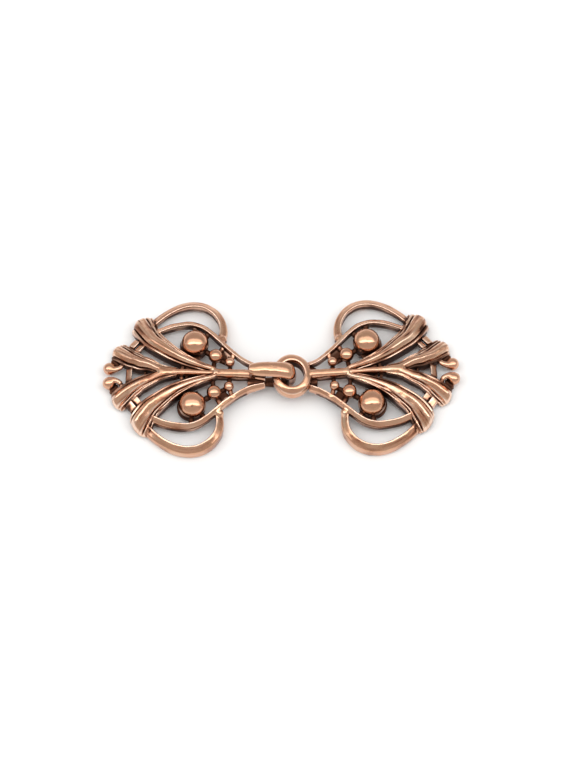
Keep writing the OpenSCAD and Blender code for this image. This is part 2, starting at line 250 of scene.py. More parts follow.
class Field:
    def __init__(self, lo, hi):
        self.lo = np.array(lo, np.float32)
        n = np.ceil((np.array(hi) - lo) / H).astype(int) + 1
        self.ax = [self.lo[i] + H * np.arange(n[i], dtype=np.float32) for i in range(3)]
        self.f = np.full(n, 4.0, np.float32)

    def window(self, lo, hi):
        sl = []
        for i in range(3):
            a = int(np.clip(np.floor((lo[i] - self.lo[i]) / H), 0, len(self.ax[i]) - 1))
            b = int(np.clip(np.ceil((hi[i] - self.lo[i]) / H) + 1, a + 1, len(self.ax[i])))
            sl.append(slice(a, b))
        return tuple(sl)

    def add(self, sl, d, k):
        self.f[sl] = smin(self.f[sl], d.astype(np.float32), k)

    def cut(self, sl, d, k):
        self.f[sl] = smax(self.f[sl], -d.astype(np.float32), k)

    def mesh(self, sl):
        return np.meshgrid(self.ax[0][sl[0]], self.ax[1][sl[1]], self.ax[2][sl[2]], indexing="ij", sparse=True)

    def sweep(self, rows, top, k=0.12, edge=0.16, bulge=(0.0, 0.3), flip=1, roll=(0.0, 0.0), margin=0.7, grain=0.0, belly=0.0):
        """A bar along rows, with a profile over its width. flip is the side that its outer edge is on.

        bulge rounds the two ends off in plan, and roll turns the top down towards them.
        """
        p, s = smooth_rows(rows)
        wmax = p[:, 4].max() / 2 + margin
        lo = [p[:, 0].min() - wmax, p[:, 1].min() - wmax, p[:, 3].min() - margin]
        hi = [p[:, 0].max() + wmax, p[:, 1].max() + wmax, p[:, 2].max() + margin]
        sl = self.window(lo, hi)
        X, Y = np.meshgrid(self.ax[0][sl[0]], self.ax[1][sl[1]], indexing="ij")
        q = np.column_stack([X.ravel(), Y.ravel()]).astype(np.float32)
        near, ahead, u = foot(p, q)
        u = u * flip
        over0 = np.where(near == 0, -ahead, -9.0)  # how far past either end
        over1 = np.where(near == len(p) - 1, ahead, -9.0)
        at = np.clip(s[near] + ahead, 0, s[-1])
        topz, under, w = (np.interp(at, s, p[:, j]) for j in (2, 3, 4))
        w = w / 2
        un = np.clip(u / w, -1, 1)
        hgt = topz - w * spline(top, un)
        if grain:  # faint lines left along the bar by filing
            lines = np.sin(un * 13.0 + 0.5 * np.sin(at * 0.9)) + 0.7 * np.sin(un * 23.0 + 1.3 + 0.7 * np.sin(at * 0.6))
            hgt = hgt + grain * lines * np.clip(1 - un**2, 0, 1)
        for gone, e, r in ((at + np.where(near == 0, ahead, 0), 0, roll[0]), (s[-1] - at - np.where(near == len(p) - 1, ahead, 0), 1, roll[1])):
            if r:
                x = np.clip((r - (gone + bulge[e] * (1 - un**2))) / r, 0, 1)
                hgt = hgt - r * (1 - np.sqrt(np.clip(1 - x * x, 0, 1)))
        slope = (spline(top, np.clip(un + 0.02, -1, 1)) - spline(top, np.clip(un - 0.02, -1, 1))) / 0.04
        steep = np.sqrt(1 + np.clip(slope, -2.0, 2.0) ** 2)
        side = np.abs(u) - w
        side = smax(side, over0 - bulge[0] * (1 - un**2), 0.3)
        side = smax(side, over1 - bulge[1] * (1 - un**2), 0.3)
        shp = X.shape
        Z = self.ax[2][sl[2]][None, None, :]
        up = (Z - hgt.reshape(shp)[:, :, None]) / steep.reshape(shp)[:, :, None]
        under = under + belly * np.maximum(-un - 0.1, 0) ** 2  # the inner side's underside is rounded off
        down = under.reshape(shp)[:, :, None] - Z
        d = smax(smax(up, side.reshape(shp)[:, :, None], edge), down, 0.18 + 0.3 * belly)
        self.add(sl, d, k)

    def petal(self, rows, side, k=0.06, roll=1.15, tip=(0.10, 1.6, 0.15), sink=0.04, more=0.0, margin=0.9):
        """A petal: its rib, a rail on either side and the grooves between them, ending in one rounded edge."""
        p, s = smooth_rows(rows)
        reach = np.abs(p[:, 4:]).max() + margin
        sl = self.window(
            [p[:, 0].min() - reach, p[:, 1].min() - reach, p[:, 3].min() - margin],
            [p[:, 0].max() + reach, p[:, 1].max() + reach, p[:, 2].max() + margin],
        )
        X, Y = np.meshgrid(self.ax[0][sl[0]], self.ax[1][sl[1]], indexing="ij")
        q = np.column_stack([X.ravel(), Y.ravel()]).astype(np.float32)
        near, ahead, u = foot(p, q)
        u = u * side
        at = np.clip(s[near] + ahead, 0, s[-1])
        top, under, far, rail, rib, groove, line, edge = (np.interp(at, s, p[:, j]) for j in range(2, 10))
        # rib: round at the crest, steeper on its inner flank
        out, inn = np.maximum(u, 0), np.maximum(-u, 0)
        drop = 0.60 * (np.sqrt(out**2 + 0.30**2) - 0.30) + 0.95 * (np.sqrt(inn**2 + 0.22**2) - 0.22)
        # the two grooves on the outer side
        grown = np.clip((edge - groove - 0.10) / 0.30, 0, 1)
        to_tip = np.clip(at / s[-1], 0, 1)
        drop = drop + grown * ((0.24 + 0.20 * to_tip) * np.exp(-(((u - groove) / (0.10 + 0.05 * to_tip)) ** 2)) + (0.17 + 0.16 * to_tip) * np.exp(-(((u - line) / (0.08 + 0.04 * to_tip)) ** 2)))
        # faint lines left by filing
        span = (u - rib) / np.maximum(groove - rib, 0.2)
        drop = drop + 0.021 * np.sin(span * 12.5 + 0.5 * np.sin(at * 0.7)) * np.clip(4 * span * (1 - span), 0, 1)
        hgt = top - drop
        # inner rail
        mid, half = (far + rail) / 2, np.maximum((rail - far) / 2, 0.03)
        v = np.clip((u - mid) / half, -1.4, 1.4)
        low = 0.62 * np.maximum(-mid, 0)
        rail_h = top - sink - low - half * (0.10 * v**2 + 0.55 * v**4 * (np.abs(v) > 0))
        past = np.where(near == len(p) - 1, np.maximum(s[near] + ahead - s[-1], 0), 0)
        gone = s[-1] - at - past + tip[0] + more - tip[2] * (u - tip[1]) ** 2  # how far before the rounded end
        x = np.clip((roll - gone) / roll, 0, 1)
        turn_down = roll * (1 - np.sqrt(np.clip(1 - x * x, 0, 1)))
        hgt, rail_h = hgt - turn_down, rail_h - turn_down
        shp = X.shape
        Z = self.ax[2][sl[2]][None, None, :]

        def g(a):
            return a.reshape(shp)[:, :, None]

        first = g(np.where(near == 0, -ahead, -9.0))
        last = g(-gone)
        body = smax((Z - g(hgt)) / 1.15, smax(g(rib - u), g(u - edge), 0.10), 0.16)
        inner = smax((Z - g(rail_h)) / 1.1, smax(g(far - u), g(u - rail), 0.06), 0.10)
        web = smax((Z - g(np.minimum(rail_h, hgt) - 0.26)), smax(g(far - u), g(u - rib - 0.1), 0.06), 0.10)
        d = smin(smin(body, inner, 0.03), web, 0.08)
        d = smax(smax(d, first, 0.2), last, 0.35)
        d = smax(d, g(under) - Z, 0.18)
        self.add(sl, d, k)

    def ball(self, c, r, k=0.15, flat=1.0, tilt=0.0, side=1):
        """A bead, flattened along an axis that leans outward by tilt degrees."""
        sl = self.window([v - r - 0.8 for v in c], [v + r + 0.8 for v in c])
        X, Y, Z = self.mesh(sl)
        a = math.radians(tilt) * side
        y = (Y - c[1]) * math.cos(a) - (Z - c[2]) * math.sin(a)
        z = (Y - c[1]) * math.sin(a) + (Z - c[2]) * math.cos(a)
        d = np.sqrt((X - c[0]) ** 2 + y**2 + (z / flat) ** 2)
        g = np.sqrt((X - c[0]) ** 2 + y**2 + (z / flat**2) ** 2) / np.maximum(d, 1e-3)
        self.add(sl, (d - r) / np.maximum(g, 0.5), k)

    def rod(self, a, b, ra, rb, k=0.25):
        a, b = np.array(a, float), np.array(b, float)
        m = max(ra, rb) + 0.8
        sl = self.window(np.minimum(a, b) - m, np.maximum(a, b) + m)
        X, Y, Z = self.mesh(sl)
        v = b - a
        t = np.clip(((X - a[0]) * v[0] + (Y - a[1]) * v[1] + (Z - a[2]) * v[2]) / (v @ v), 0, 1)
        d = np.sqrt((X - a[0] - t * v[0]) ** 2 + (Y - a[1] - t * v[1]) ** 2 + (Z - a[2] - t * v[2]) ** 2)
        self.add(sl, d - (ra + (rb - ra) * t), k)

    def block(self, c, half, turn, slope=0.0, k=0.12, r=0.15):
        """A rounded block. slope tips its top down towards the fan's outer end."""
        m = max(half) * 1.5 + 0.8
        sl = self.window([v - m for v in c], [v + m for v in c])
        X, Y, Z = self.mesh(sl)
        ca, sa = math.cos(math.radians(turn)), math.sin(math.radians(turn))
        x = (X - c[0]) * ca + (Y - c[1]) * sa
        y = -(X - c[0]) * sa + (Y - c[1]) * ca
        q = [np.abs(v) - (h - r) for v, h in zip((x, y, Z - c[2] + slope * x), half)]
        out = np.sqrt(sum(np.maximum(v, 0) ** 2 for v in np.broadcast_arrays(*q)))
        ins = np.minimum(np.maximum(np.maximum(q[0], q[1]), q[2]), 0)
        self.add(sl, out + ins - r, k)

    def pit(self, c, r, k=0.08):
        sl = self.window([v - r - 0.3 for v in c], [v + r + 0.3 for v in c])
        X, Y, Z = self.mesh(sl)
        self.cut(sl, np.sqrt((X - c[0]) ** 2 + (Y - c[1]) ** 2 + (Z - c[2]) ** 2) - r, k)

    def disc(self, c, r, half, k=0.15):
        sl = self.window([c[0] - r - 0.6, c[1] - r - 0.6, c[2] - half - 0.6], [c[0] + r + 0.6, c[1] + r + 0.6, c[2] + half + 0.6])
        X, Y, Z = self.mesh(sl)
        self.add(sl, smax(np.hypot(X - c[0], Y - c[1]) - r, np.abs(Z - c[2]) - half, 0.25), k)

    def arc(self, pts, radii, k=0.18):
        """A round bar through 3-D points."""
        rows = np.column_stack([np.array(pts, float), np.array(radii, float)])
        ext = np.vstack([2 * rows[0] - rows[1], rows, 2 * rows[-1] - rows[-2]])
        out = []
        for i in range(len(rows) - 1):
            a, b, c, d = ext[i : i + 4]
            u = np.linspace(0, 1, 6, endpoint=False)[:, None]
            out.append(0.5 * (2 * b + (c - a) * u + (2 * a - 5 * b + 4 * c - d) * u**2 + (3 * b - a - 3 * c + d) * u**3))
        p = np.vstack(out + [rows[-1:]])
        for a, b in zip(p, p[1:]):
            self.rod(a[:3], b[:3], a[3], b[3], k=0.05 if a is not p[0] else k)


def fan(fld, neck, longer):
    """The openwork fan, both sides of its stem."""
    for side in (1, -1):
        def m(rows):
            return [[r[0], r[1] * side, *r[2:]] for r in rows]

        fld.sweep(m([[*r, LOOP_W] for r in LOOP]), LOOP_TOP, k=0.12, edge=0.10, flip=-side, bulge=(0.0, 0.3), roll=(0.0, 0.5), belly=1.0)
        fld.sweep(m([[r[0], r[1], r[2], r[2] - r[4], r[3]] for r in [[*q, BAR_T] for q in FRAME] + neck]), BAR_TOP, k=0.12, edge=0.09, flip=-side, bulge=(0.0, 0.0))
        # the fillet where the loop meets the bar
        fld.ball([5.55, 7.05 * side, 2.45], 0.78, k=0.30)
        fld.ball([18.0, 8.9 * side, 1.5], 0.7, k=0.3)
    for side in (1, -1):
        def m(rows):
            return [[r[0], r[1] * side, *r[2:]] for r in rows]

        more = 0.82 if side == longer else 0.0  # the petals on one side reach a little further
        fld.petal(m(OUTER_PETAL), side, more=more)
        fld.petal(m(MID_PETAL), side, roll=1.0, tip=(0.34, 0.7, 0.17), sink=0.10, more=0.45 * more)
        for a, b, ra, rb in TIES:
            fld.rod([a[0], a[1] * side, a[2]], [b[0], b[1] * side, b[2]], ra, rb, k=0.22)
        for r in BLOCKS:
            if r[1] == 0 and side < 0:
                continue
            fld.block([r[0], r[1] * side, r[2]], r[3:6], r[6] * side, r[7])
        for r in WEBS:
            fld.block([r[0], r[1] * side, r[2]], r[3:6], r[6] * side, 0.0, k=0.2)
        # the low seat that the large bead stands in
        b = BEADS[0]
        fld.disc([b[0] + 0.22, (b[1] - 0.05) * side, 1.80], b[3] + 0.06, 0.45)
        for a, c, z, r, flat, tilt in BEADS:
            fld.ball([a, c * side, z], r, k=0.10, flat=flat, tilt=tilt, side=side)
        # the pair of balls on curled stalks at the outer end
        fld.arc(
            [[24.95, 1.34 * side, 1.40], [24.3, 1.02 * side, 1.75], [23.65, 1.12 * side, 1.95], [23.1, 1.42 * side, 1.95], [22.65, 2.05 * side, 1.8]],
            [0.86, 0.62, 0.48, 0.42, 0.40],
        )
        fld.ball([24.96, 1.40 * side, 1.38], 1.12, k=0.30, flat=0.96)
    fld.sweep(SPINE, STEM_TOP, k=0.08, edge=0.12, bulge=(0.0, 0.0), roll=(0.5, 0.8))
    fld.sweep(STEM, STEM_TOP, k=0.10, edge=0.15, bulge=(0.0, 0.15), roll=(0.0, 0.35))
    for side in (1, -1):
        fld.pit([7.15, 0.46 * side, 4.52], 0.30)


def eye(fld):
    """The oval eye, centred on the swivel axis, between an inner and an outer oval."""
    mid, inn, out, z0, z1 = -EYE_REACH - 0.2, (2.06, 2.32), (3.48, 4.00), 2.45, 4.82
    sl = fld.window([-EYE_REACH - 4.4, -5.0, z0 - 1], [-EYE_REACH + 4.4, 5.0, z1 + 1])
    X, Y, Z = fld.mesh(sl)

    def oval(a, b):
        q = np.hypot((X - mid) / a, Y / b)
        grad = np.hypot((X - mid) / a**2, Y / b**2) / np.maximum(q, 1e-3)
        return (q - 1) / np.maximum(grad, 0.05)

    din, dout = oval(*inn), oval(*out)
    half = np.maximum((din - dout) / 2, 0.2)
    w = np.clip((din + dout) / (din - dout), -1, 1)
    hgt = z1 - half * spline(EYE_TOP, w)
    d = smax(smax(smax(-din, dout, 0.1), (Z - hgt) / 1.25, 0.30), z0 - Z + 0.25 * w, 0.30)
    fld.add(sl, d, 0.15)


def eye_neck(fld):
    fld.sweep([[1.2, 0, 2.75, 2.0, 3.4], [0.4, 0, 2.85, 2.0, 4.2], [-0.5, 0, 2.9, 2.0, 4.2]], PLATE_TOP, k=0.12, bulge=(0.0, 0.0))


HOOK_Z, HOOK_W, HOOK_T = 6.00, 2.66, 2.05
HOOK = [  # [out from the swivel axis, height, width, thickness]
    [7.38, HOOK_Z - 0.34, HOOK_W * 0.66, HOOK_T * 0.78],
    [7.05, HOOK_Z - 0.22, HOOK_W * 0.78, HOOK_T * 0.86],
    [6.20, HOOK_Z - 0.07, HOOK_W * 0.92, HOOK_T * 0.97],
    [5.5, HOOK_Z - 0.01, HOOK_W * 0.97, HOOK_T],
    [4.4, HOOK_Z, HOOK_W, HOOK_T],
    [2.6, HOOK_Z - 0.02, HOOK_W * 1.02, HOOK_T],
    [1.65, HOOK_Z - 0.12, HOOK_W * 1.07, HOOK_T * 0.98],
    [0.95, HOOK_Z - 0.45, HOOK_W * 1.11, HOOK_T * 0.94],
    [0.50, HOOK_Z - 1.00, HOOK_W * 1.10, HOOK_T * 0.90],
    [0.34, HOOK_Z - 1.65, HOOK_W * 1.00, HOOK_T * 0.86],
    [0.30, HOOK_Z - 2.4, HOOK_W * 0.94, HOOK_T * 0.83],
    [0.32, HOOK_Z - 3.2, HOOK_W * 0.90, HOOK_T * 0.80],
    [0.48, HOOK_Z - 4.2, HOOK_W * 0.84, HOOK_T * 0.76],
    [1.25, HOOK_Z - 5.06, HOOK_W * 0.76, HOOK_T * 0.66],
    [2.5, HOOK_Z - 5.28, HOOK_W * 0.70, HOOK_T * 0.55],
    [4.0, HOOK_Z - 5.30, HOOK_W * 0.66, HOOK_T * 0.52],
    [5.1, HOOK_Z - 5.26, HOOK_W * 0.58, HOOK_T * 0.48],
    [5.5, HOOK_Z - 5.20, HOOK_W * 0.38, HOOK_T * 0.32],
]


def hook(fld):
    """The bent finger. In the fan's frame, along is the distance from the axis less the reach."""
    p, s = smooth_rows([[r[0] - HOOK_REACH, r[1], r[2], r[3]] for r in HOOK], step=0.06)
    sl = fld.window([p[:, 0].min() - 1.8, -2.3, 0 - 1], [p[:, 0].max() + 1.5, 2.3, p[:, 1].max() + 1.8])
    X, Z = np.meshgrid(fld.ax[0][sl[0]], fld.ax[2][sl[2]], indexing="ij")
    q = np.column_stack([X.ravel(), Z.ravel()])
    d2 = (q[:, :1] - p[:, 0]) ** 2 + (q[:, 1:] - p[:, 1]) ** 2
    near = d2.argmin(1)
    tan = np.gradient(p[:, :2], axis=0)
    tan /= np.linalg.norm(tan, axis=1)[:, None]
    off = q - p[near, :2]
    ahead = (off * tan[near]).sum(1)
    v = off[:, 1] * tan[near][:, 0] - off[:, 0] * tan[near][:, 1]
    over = np.where(near == 0, -ahead, np.where(near == len(p) - 1, ahead, 0.0)).clip(0)
    at = np.clip(s[near] + ahead, 0, s[-1])
    w, t = (np.interp(at, s, p[:, j]) / 2 for j in (2, 3))
    shp = X.shape
    v, over, w, t = (g.reshape(shp)[:, None, :] for g in (v, over, w, t))
    Y = fld.ax[1][sl[1]][None, :, None]
    n = 2.1  # a nearly round section
    ev, ey = np.abs(v) / t, np.abs(Y) / w
    g = (ev**n + ey**n) ** (1 / n)
    scale = np.where(g > 1e-3, (ev ** (n - 1) / t + ey ** (n - 1) / w) / np.maximum(g, 1e-3) ** (n - 1), 1 / t)
    scale = np.hypot(ev ** (n - 1) / t, ey ** (n - 1) / w) / np.maximum(g, 1e-3) ** (n - 1)
    d = (g - 1) / np.maximum(scale, 0.6)
    root = (near == 0).reshape(shp)[:, None, :]
    d = np.where(root, smax(d, over, 0.35), np.where(over > 0, np.hypot(np.maximum(d, 0), over) + np.minimum(d, 0), d))
    fld.add(sl, d, 0.25)
    fld.block([-0.05, 0.0, 4.55], [0.42, 0.92, 0.85], 0, k=0.2, r=0.25)


def hook_neck(fld):
    # the web between the bars, and the plate that the finger stands on, a little wider than the stem
    fld.sweep([[0.9, 0, 2.9, 2.3, 4.2], [0.0, 0, 2.9, 2.3, 4.0], [-0.9, 0, 3.0, 2.3, 3.8], [-2.2, 0, 3.1, 2.3, 3.4]], PLATE_TOP, k=0.10, bulge=(0.0, 0.0))
    fld.sweep([[1.9, 0, 3.95, 2.5, 0.95], [0.4, 0, 4.02, 2.5, 1.45], [-0.9, 0, 4.08, 2.5, 1.95], [-2.25, 0, 4.08, 2.5, 2.35]], PLATE_TOP, k=0.06, edge=0.12, bulge=(0.0, 0.0))


# ---------------------------------------------------------------- field to mesh
def box_blur(a, n):
    """Mean over 2n+1 cells each way."""
    for ax in range(3):
        pad = [(0, 0)] * 3
        pad[ax] = (n + 1, n)
        c = np.cumsum(np.pad(a, pad, mode="edge"), axis=ax, dtype=np.float64)
        hi = np.take(c, range(2 * n + 1, c.shape[ax]), axis=ax)
        lo = np.take(c, range(0, c.shape[ax] - 2 * n - 1), axis=ax)
        a = ((hi - lo) / (2 * n + 1)).astype(np.float32)
    return a


def grow_noise(shape, cell_mm, rng):
    """Smooth noise over the field, from a coarse grid."""
    n = [max(4, int(math.ceil(v * H / cell_mm)) + 3) for v in shape]
    g = rng.standard_normal(n).astype(np.float32)
    for ax in range(3):
        x = np.arange(shape[ax]) * H / cell_mm + 1
        i = np.clip(np.floor(x).astype(int), 1, n[ax] - 3)
        t = (x - i).astype(np.float32)
        sh = [1, 1, 1]
        sh[ax] = len(t)
        t = t.reshape(sh)
        a, b, c, d = (np.take(g, i + o, axis=ax) for o in (-1, 0, 1, 2))
        g = 0.5 * (2 * b + (c - a) * t + (2 * a - 5 * b + 4 * c - d) * t**2 + (3 * b - a - 3 * c + d) * t**3)
    return g


def sample(a, lo, pts):
    """Trilinear value of grid a at points."""
    q = (pts - lo) / H
    q = np.clip(q, 0, np.array(a.shape) - 1.001)
    i = q.astype(int)
    t = q - i
    out = 0
    for dx in (0, 1):
        for dy in (0, 1):
            for dz in (0, 1):
                wgt = (t[:, 0] if dx else 1 - t[:, 0]) * (t[:, 1] if dy else 1 - t[:, 1]) * (t[:, 2] if dz else 1 - t[:, 2])
                out = out + wgt * a[i[:, 0] + dx, i[:, 1] + dy, i[:, 2] + dz]
    return out


def height_map(f, z, step):
    """Highest metal above each point of the plane, far below where there is none."""
    g = f[::step, ::step]
    solid = g < 0
    top = solid.shape[2] - 1 - np.argmax(solid[:, :, ::-1], axis=2)
    has = solid.any(axis=2)
    i, j = np.indices(top.shape)
    nxt = np.minimum(top + 1, g.shape[2] - 1)
    a, b = g[i, j, top], g[i, j, nxt]
    part = np.clip(a / np.where(np.abs(a - b) < 1e-6, -1e-6, a - b), 0, 1)
    return np.where(has, z[top] + part * (z[nxt] - z[top]), -6.0)


def rolled(hm, r, cell):
    """The surface that a ball of radius r can touch, rolling over the height map."""
    n = int(r / cell)
    offs = [(dx, dy, math.sqrt(r * r - (dx * dx + dy * dy) * cell * cell)) for dx in range(-n, n + 1) for dy in range(-n, n + 1) if (dx * dx + dy * dy) * cell * cell < r * r]
    pad = n + 1
    for sign in (1, -1):
        p = np.pad(hm, pad, constant_values=-6.0)
        out = np.full(hm.shape, -99.0 * sign)
        for dx, dy, b in offs:
            v = p[pad + dx : pad + dx + hm.shape[0], pad + dy : pad + dy + hm.shape[1]] + sign * b
            out = np.maximum(out, v) if sign > 0 else np.minimum(out, v)
        hm = out
    return hm


def plane_sample(a, lo, cell, pts):
    q = np.clip((pts - lo) / cell, 0, np.array(a.shape) - 1.001)
    i = q.astype(int)
    t = q - i
    return (
        a[i[:, 0], i[:, 1]] * (1 - t[:, 0]) * (1 - t[:, 1])
        + a[i[:, 0] + 1, i[:, 1]] * t[:, 0] * (1 - t[:, 1])
        + a[i[:, 0], i[:, 1] + 1] * (1 - t[:, 0]) * t[:, 1]
        + a[i[:, 0] + 1, i[:, 1] + 1] * t[:, 0] * t[:, 1]
    )


def streaks(along, across, rng):
    """Uneven noise drawn out along a bar or a petal."""
    g = rng.standard_normal((40, 60)).astype(np.float32)
    x, y = along / 2.6 + 3, across / 0.24 + 30
    i, j = np.clip(x.astype(int), 0, 38), np.clip(y.astype(int), 0, 58)
    t, v = np.clip(x - i, 0, 1), np.clip(y - j, 0, 1)
    t, v = t * t * (3 - 2 * t), v * v * (3 - 2 * v)
    return (g[i, j] * (1 - v) + g[i, j + 1] * v) * (1 - t) + (g[i + 1, j] * (1 - v) + g[i + 1, j + 1] * v) * t


def patina_shade_and_streaks(co, rng):
    """The petals' inner rails and inner walls are darkened away from the stem, patina together with painted shade, and
    their faces are streaked.
    """
    more, streak = np.zeros(len(co)), np.zeros(len(co))
    for rows, side in ((OUTER_PETAL, 1), (OUTER_PETAL, -1), (MID_PETAL, 1), (MID_PETAL, -1)):
        p, s = smooth_rows([[r[0], r[1] * side, *r[2:]] for r in rows], step=0.25)
        near, ahead, u = foot(p, co[:, :2].astype(np.float32))
        u = u * side
        far, rib, edge = p[near, 4], p[near, 6], p[near, 9]
        close = np.abs(ahead) < 0.6
        from_stem = np.clip((s[near] - 3.0) / 2.5, 0, 1)
        inside = np.clip((u - far + 0.45) / 0.15, 0, 1) * np.clip((rib - u) / 0.10, 0, 1)
        more = np.maximum(more, (0.45 if rows is OUTER_PETAL else 0.85) * inside * from_stem * close)
        face = np.clip((u - far) / 0.1, 0, 1) * np.clip((edge - u) / 0.1, 0, 1) * close
        streak = np.where(face > 0, face * streaks(s[near] + ahead, u, rng), streak)
    for rows in (FRAME, LOOP):
        for side in (1, -1):
            p, s = smooth_rows([[r[0], r[1] * side, *r[2:]] for r in rows], step=0.25)
            near, ahead, u = foot(p, co[:, :2].astype(np.float32))
            face = (np.abs(u) < 0.8) * (np.abs(ahead) < 0.3) * (streak == 0)
            streak = np.where(face > 0, 0.7 * streaks(s[near] + ahead, u, rng), streak)
            # the feet of the bars are darkened: patina the polishing never reached, together with painted shade near
            # the table
            bar_foot_patina_and_shade = np.clip((p[near, 2] - 0.60 - co[:, 2]) / 0.55, 0, 1) * (np.abs(u) < 0.95) * (np.abs(ahead) < 0.3)
            more = np.maximum(more, (0.85 if rows is FRAME else 0.30) * bar_foot_patina_and_shade)
    return more, streak


def eye_wall_patina_and_shade(co, nor):
    """The eye's inner wall is darkened too, patina together with painted shade inside the ring."""
    q = np.hypot((co[:, 0] + EYE_REACH + 0.2) / 2.06, co[:, 1] / 2.32)
    return 0.9 * np.clip((1.16 - q) / 0.08, 0, 1) * np.clip((4.45 - co[:, 2]) / 0.3, 0, 1) * (co[:, 0] < -0.4)


def make_half(name, body, node, build, lo, hi, turn, reach, seed, patina_shade_spots):
    fld = Field(lo, hi)
    build(fld)
    rng = np.random.default_rng(seed)
    # hand-worked wax: slow swells in the surface
    fld.f += 0.020 * grow_noise(fld.f.shape, 1.7, rng) + 0.008 * grow_noise(fld.f.shape, 0.6, rng)
    # nothing reaches below the surface that it lies on
    fld.f = smax(fld.f, (0.0 - fld.ax[2])[None, None, :].astype(np.float32), 0.05)
    near = np.clip(fld.f, -1.2, 1.2)
    fine, wide = box_blur(near, max(1, round(0.20 / H))), box_blur(near, max(2, round(0.60 / H)))
    grid = openvdb.FloatGrid(3.0)
    grid.copyFromArray(np.ascontiguousarray(fld.f))
    pts, quads = grid.convertToQuads(0.0)
    pts = np.array(pts, np.float64) * H + fld.lo
    quads = np.array(quads, np.int64)
    mesh = bpy.data.meshes.new(name)
    mesh.vertices.add(len(pts))
    mesh.vertices.foreach_set("co", pts.astype(np.float32).ravel())
    mesh.loops.add(quads.size)
    mesh.loops.foreach_set("vertex_index", quads.astype(np.int32).ravel())
    mesh.polygons.add(len(quads))
    mesh.polygons.foreach_set("loop_start", np.arange(0, quads.size, 4, dtype=np.int32))
    mesh.polygons.foreach_set("loop_total", np.full(len(quads), 4, np.int32))
    mesh.update(calc_edges=True)
    mesh.validate()
    obj = bpy.data.objects.new(name, mesh)
    bpy.context.scene.collection.objects.link(obj)
    tris = 2 * len(quads)
    if tris > MAX_TRIS:
        dec = obj.modifiers.new("thin", "DECIMATE")
        dec.ratio = MAX_TRIS / tris
        bpy.context.view_layer.update()
        dg = bpy.context.evaluated_depsgraph_get()
        new = bpy.data.meshes.new_from_object(obj.evaluated_get(dg))
        obj.modifiers.clear()
        obj.data = new
        bpy.data.meshes.remove(mesh)
        mesh = new
        mesh.name = name
    n = len(mesh.vertices)
    co = np.empty(n * 3, np.float32)
    mesh.vertices.foreach_get("co", co)
    co = co.reshape(-1, 3).astype(np.float64)
    nor = np.empty(n * 3, np.float32)
    mesh.vertices.foreach_get("normal", nor)
    nor = nor.reshape(-1, 3).astype(np.float64)
    if sample(fld.f, fld.lo, co[:200] + nor[:200] * 0.1).mean() < 0:
        mesh.flip_normals()
        nor = -nor
    # how deep each point lies under what a buffing wheel can touch, from above and from below
    step = max(1, round(0.19 / H))
    cell = step * H
    z = fld.ax[2].astype(np.float64)
    above = rolled(height_map(fld.f, z, step), BUFF_R, cell)
    below = rolled(height_map(fld.f[:, :, ::-1], -z[::-1], step), BUFF_R, cell)
    out = co[:, :2] + nor[:, :2] * 0.32
    lo2 = fld.lo[:2].astype(np.float64)
    deep_above = np.clip(plane_sample(above, lo2, cell, out) - co[:, 2], 0, 3)
    deep_below = np.clip(plane_sample(below, lo2, cell, out) + co[:, 2], 0, 3)
    facing_down = np.clip(-nor[:, 2], 0, 1)
    extra = np.zeros(n)
    for c, r, more in patina_shade_spots:
        d2 = ((co - np.array(c)) ** 2 / np.array(r) ** 2).sum(1)
        extra += more * np.exp(-d2)
    more, streak = patina_shade_and_streaks(co, rng)
    extra += more
    if node == "eye_half":
        extra += eye_wall_patina_and_shade(co, nor)
    # the extra spots, rails, bar feet and eye wall paint in shade as well as patina
    depth_and_shade = np.where(nor[:, 2] < -0.2, np.minimum(deep_above, deep_below + 0.3), deep_above) + extra
    for key, val in (
        ("fine", sample(fine, fld.lo, co)),
        ("wide", sample(wide, fld.lo, co)),
        ("depth_and_shade", depth_and_shade),
        ("down", facing_down),
        ("streak", streak),
    ):
        att = mesh.attributes.new(key, "FLOAT", "POINT")
        att.data.foreach_set("value", val.astype(np.float32))
        print("PATINA", name, key, np.percentile(val, [1, 10, 25, 50, 75, 90, 99]).round(3), "tris", tris)
    # into the shared frame, in metres, kept inside the construction's box
    mat = (
        Matrix.Scale(0.001, 4)
        @ Matrix.Translation((AXIS[0], AXIS[1], 0))
        @ Matrix.Rotation(math.radians(turn), 4, "Z")
        @ Matrix.Translation((reach, 0, 0))
    )
    mesh.transform(mat)
    w = np.empty(n * 3, np.float32)
    mesh.vertices.foreach_get("co", w)
    w = np.clip(w.reshape(-1, 3), np.array(cad_box[0]), np.array(cad_box[1]))
    mesh.vertices.foreach_set("co", w.astype(np.float32).ravel())
    mesh.polygons.foreach_set("use_smooth", np.ones(len(mesh.polygons), bool))
    mesh.update()
    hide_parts(node)
    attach(obj, body)
    return obj


def build_hook_half(fld):
    fan(fld, HOOK_NECK, -1)
    hook_neck(fld)
    hook(fld)


def build_eye_half(fld):
    fan(fld, EYE_NECK, 1)
    eye_neck(fld)
    eye(fld)


